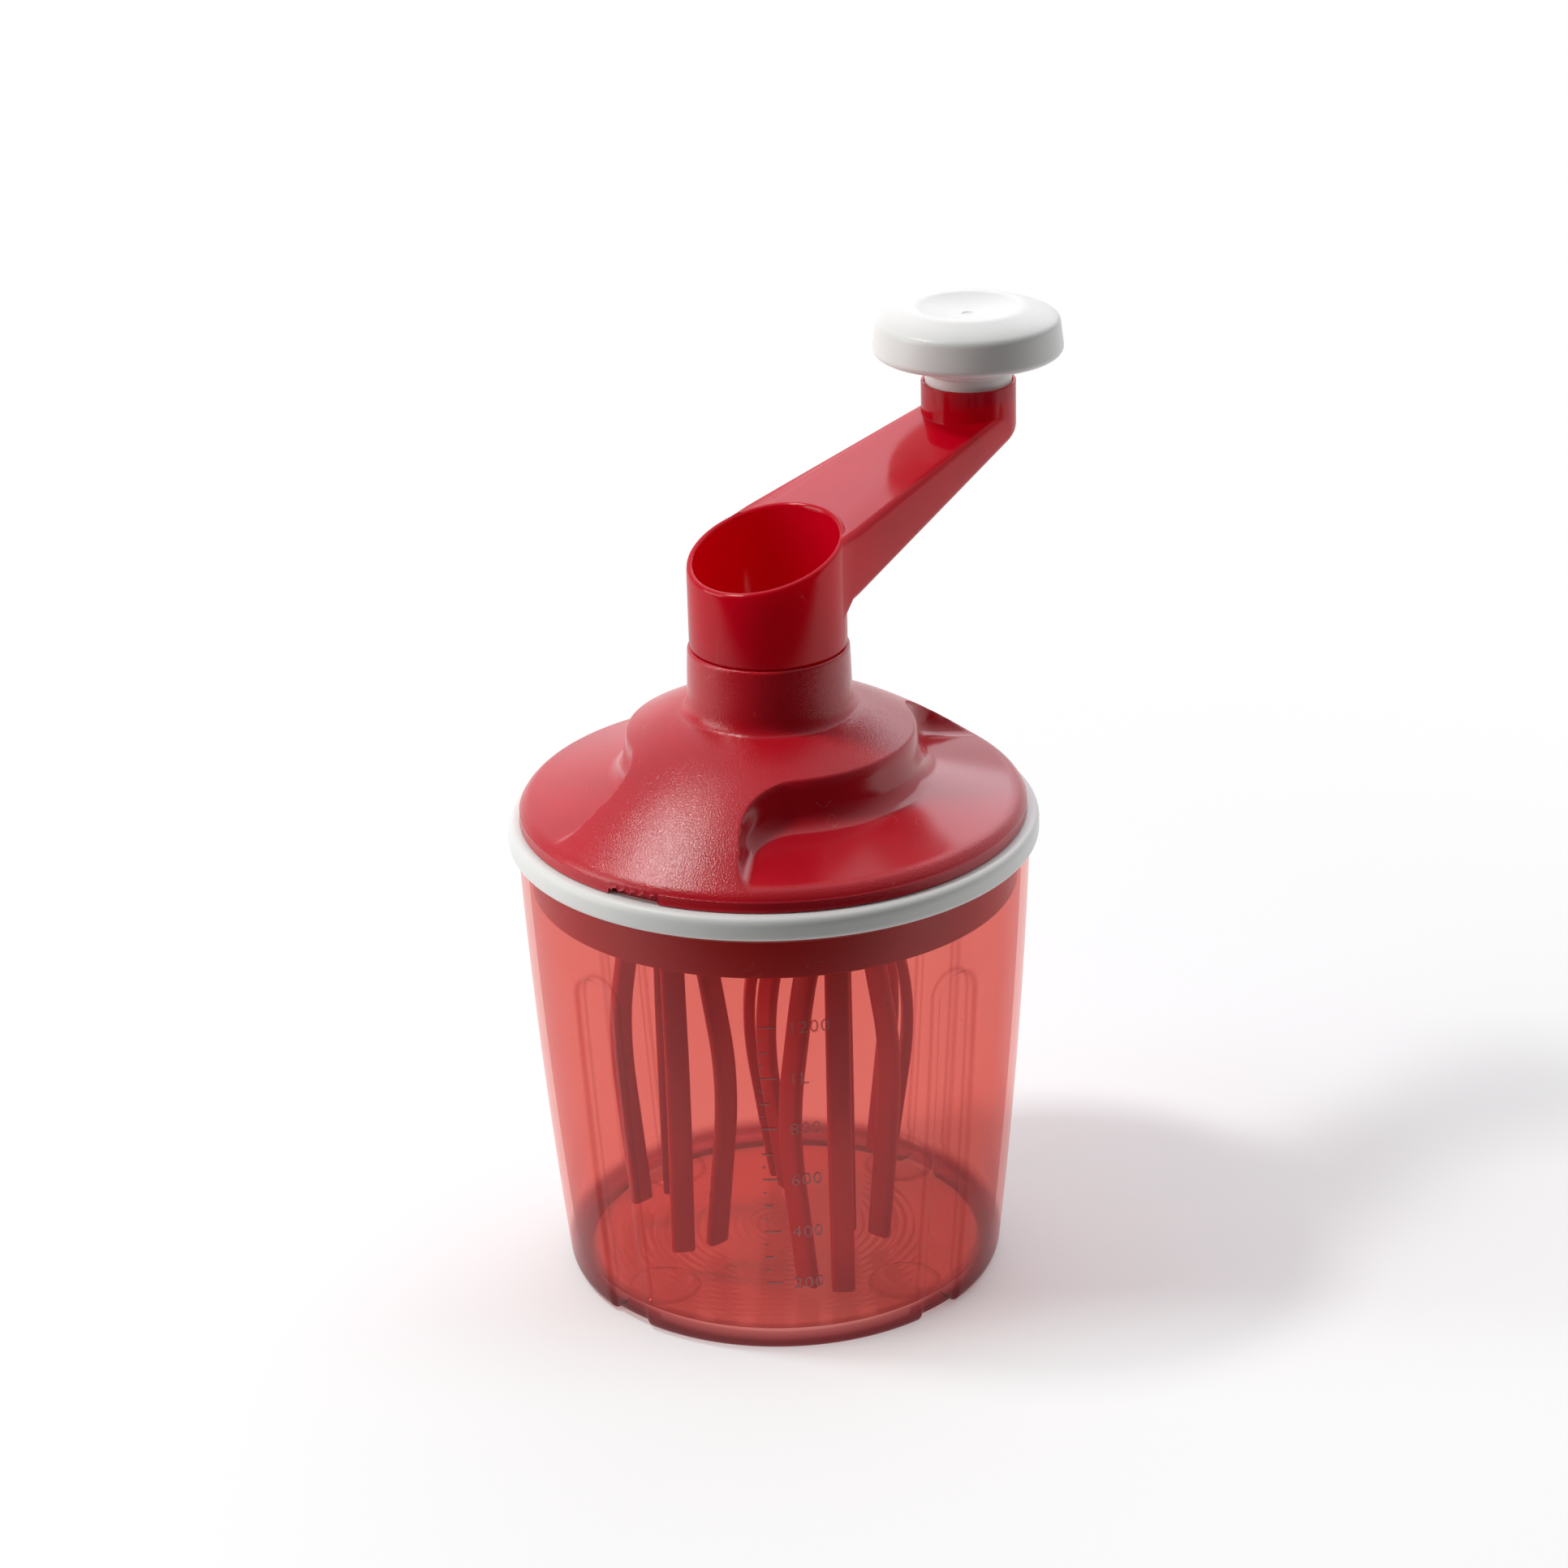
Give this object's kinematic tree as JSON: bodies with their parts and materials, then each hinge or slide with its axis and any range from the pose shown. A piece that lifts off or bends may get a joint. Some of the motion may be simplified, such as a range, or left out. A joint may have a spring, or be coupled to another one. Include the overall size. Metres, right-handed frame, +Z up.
{
  "type": "hand crank mixer",
  "caption": "Hand cranked whisk bowl: a funnel crank on a domed cover drives geared paddle whisks in a clear tapered bowl with a seal ring.",
  "frame": {"origin": "on the table under the middle of the whole outline; the bowl's axis is 21.85 mm toward -X", "axes": "+Z up along the bowl's axis; +X along the crank arm at rest; +Y to the left of the arm"},
  "size_m": [0.1872, 0.1436, 0.2528],
  "materials": {
    "clear_red": "clear tinted, glossy",
    "cover_red": "satin",
    "gloss_red": "glossy",
    "dark_red": "semi gloss",
    "off_white": "fine matt grain",
    "gear_white": "natural, semi matt",
    "rubber_grey": "soft matt",
    "steel": "drawn wire"
  },
  "bodies": {
    "bowl": {"bowl": "clear_red"},
    "lid": {"cover": "cover_red", "seal_ring": "off_white", "gear_case": "cover_red", "bearing_plate": "gear_white", "plate_screw_1": "steel", "plate_screw_2": "steel", "plate_screw_3": "steel", "case_screw_1": "steel", "case_screw_2": "steel", "case_screw_3": "steel", "case_screw_4": "steel", "neck_bush": "gear_white", "drip_seal": "rubber_grey", "spindle_seal_1": "rubber_grey", "spindle_seal_2": "rubber_grey", "spindle_seal_3": "rubber_grey"},
    "crank": {"crank": "gloss_red", "drive_gear": "gear_white", "retaining_ring": "steel", "knob_pin": "steel", "knob_washer": "gear_white"},
    "knob": {"knob": "off_white"},
    "whisk_drive_1": {"whisk_1": "dark_red", "spindle_1": "steel", "pinion_1": "gear_white"},
    "whisk_drive_2": {"whisk_2": "dark_red", "spindle_2": "steel", "pinion_2": "gear_white"},
    "whisk_drive_3": {"whisk_3": "dark_red", "spindle_3": "steel", "pinion_3": "gear_white"}
  },
  "joints": [
    {"name": "lid_lift", "type": "slide", "parent": "bowl", "child": "lid", "axis": [0, 0, 1], "range_m": [0, 0.135]},
    {"name": "crank_turn", "type": "hinge", "parent": "lid", "child": "crank", "pos_m": [-0.02185, 0, 0.16], "axis": [0, 0, 1], "continuous": true},
    {"name": "knob_spin", "type": "hinge", "parent": "crank", "child": "knob", "pos_m": [0.06715, 0, 0.24], "axis": [0, 0, 1], "continuous": true},
    {"name": "whisk_turn_1", "type": "hinge", "parent": "lid", "child": "whisk_drive_1", "pos_m": [0.00744, 0.00649, 0.125], "axis": [0, 0, 1], "continuous": true},
    {"name": "whisk_turn_2", "type": "hinge", "parent": "lid", "child": "whisk_drive_2", "pos_m": [-0.04212, 0.02212, 0.125], "axis": [0, 0, 1], "continuous": true},
    {"name": "whisk_turn_3", "type": "hinge", "parent": "lid", "child": "whisk_drive_3", "pos_m": [-0.03087, -0.02861, 0.125], "axis": [0, 0, 1], "continuous": true}
  ],
  "couplings": [
    {"joint": "whisk_turn_1", "follows": "crank_turn", "ratio": -1.8571},
    {"joint": "whisk_turn_2", "follows": "crank_turn", "ratio": -1.8571},
    {"joint": "whisk_turn_3", "follows": "crank_turn", "ratio": -1.8571}
  ]
}
